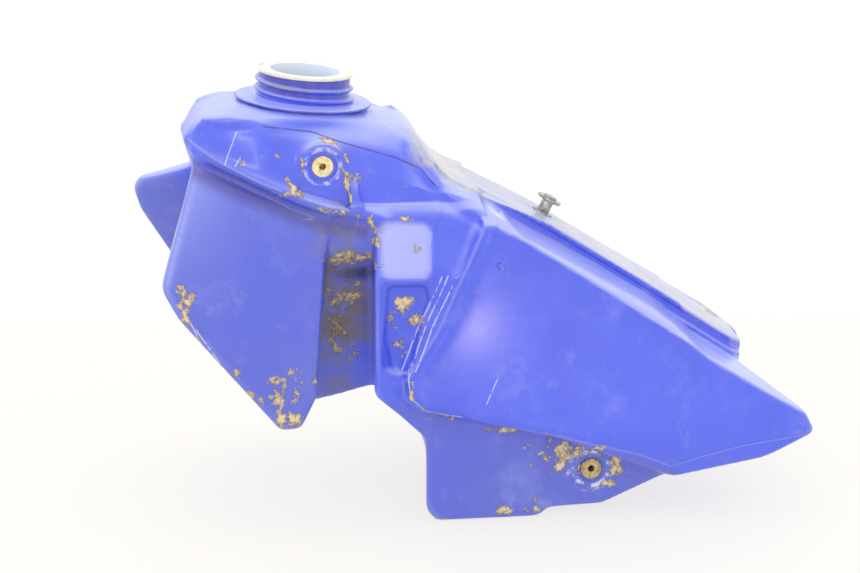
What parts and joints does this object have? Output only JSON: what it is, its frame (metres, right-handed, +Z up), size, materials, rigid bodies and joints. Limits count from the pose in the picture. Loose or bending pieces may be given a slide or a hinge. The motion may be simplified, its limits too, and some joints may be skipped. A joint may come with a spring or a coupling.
{
  "type": "motorcycle fuel tank",
  "caption": "Moulded blue plastic fuel tank for an off-road motorcycle, with a threaded filler neck, side wings, knee panels, brass shroud inserts and a seat hook.",
  "frame": {"origin": "middle of the footprint, on the floor the tank stands on", "axes": "+X to the bike's rear, +Y to its right-hand side, +Z up; the neck is at -X and the tail tips at +X"},
  "size_m": [0.48, 0.248, 0.3159],
  "materials": {
    "blue_plastic": "satin, scuffed",
    "pale_plastic": "matt",
    "brass": "dull",
    "steel": "satin"
  },
  "bodies": {
    "root": {"tank_shell": "blue_plastic", "filler_neck_ring": "pale_plastic", "upper_shroud_insert_left": "brass", "upper_shroud_insert_right": "brass", "lower_shroud_insert_left": "brass", "lower_shroud_insert_right": "brass", "tap_insert_front": "brass", "tap_insert_rear": "brass", "seat_hook_insert": "brass", "seat_hook_base_washer": "steel", "seat_hook_collar": "steel", "seat_hook_disc": "steel", "seat_hook_bolt": "steel"}
  },
  "joints": []
}
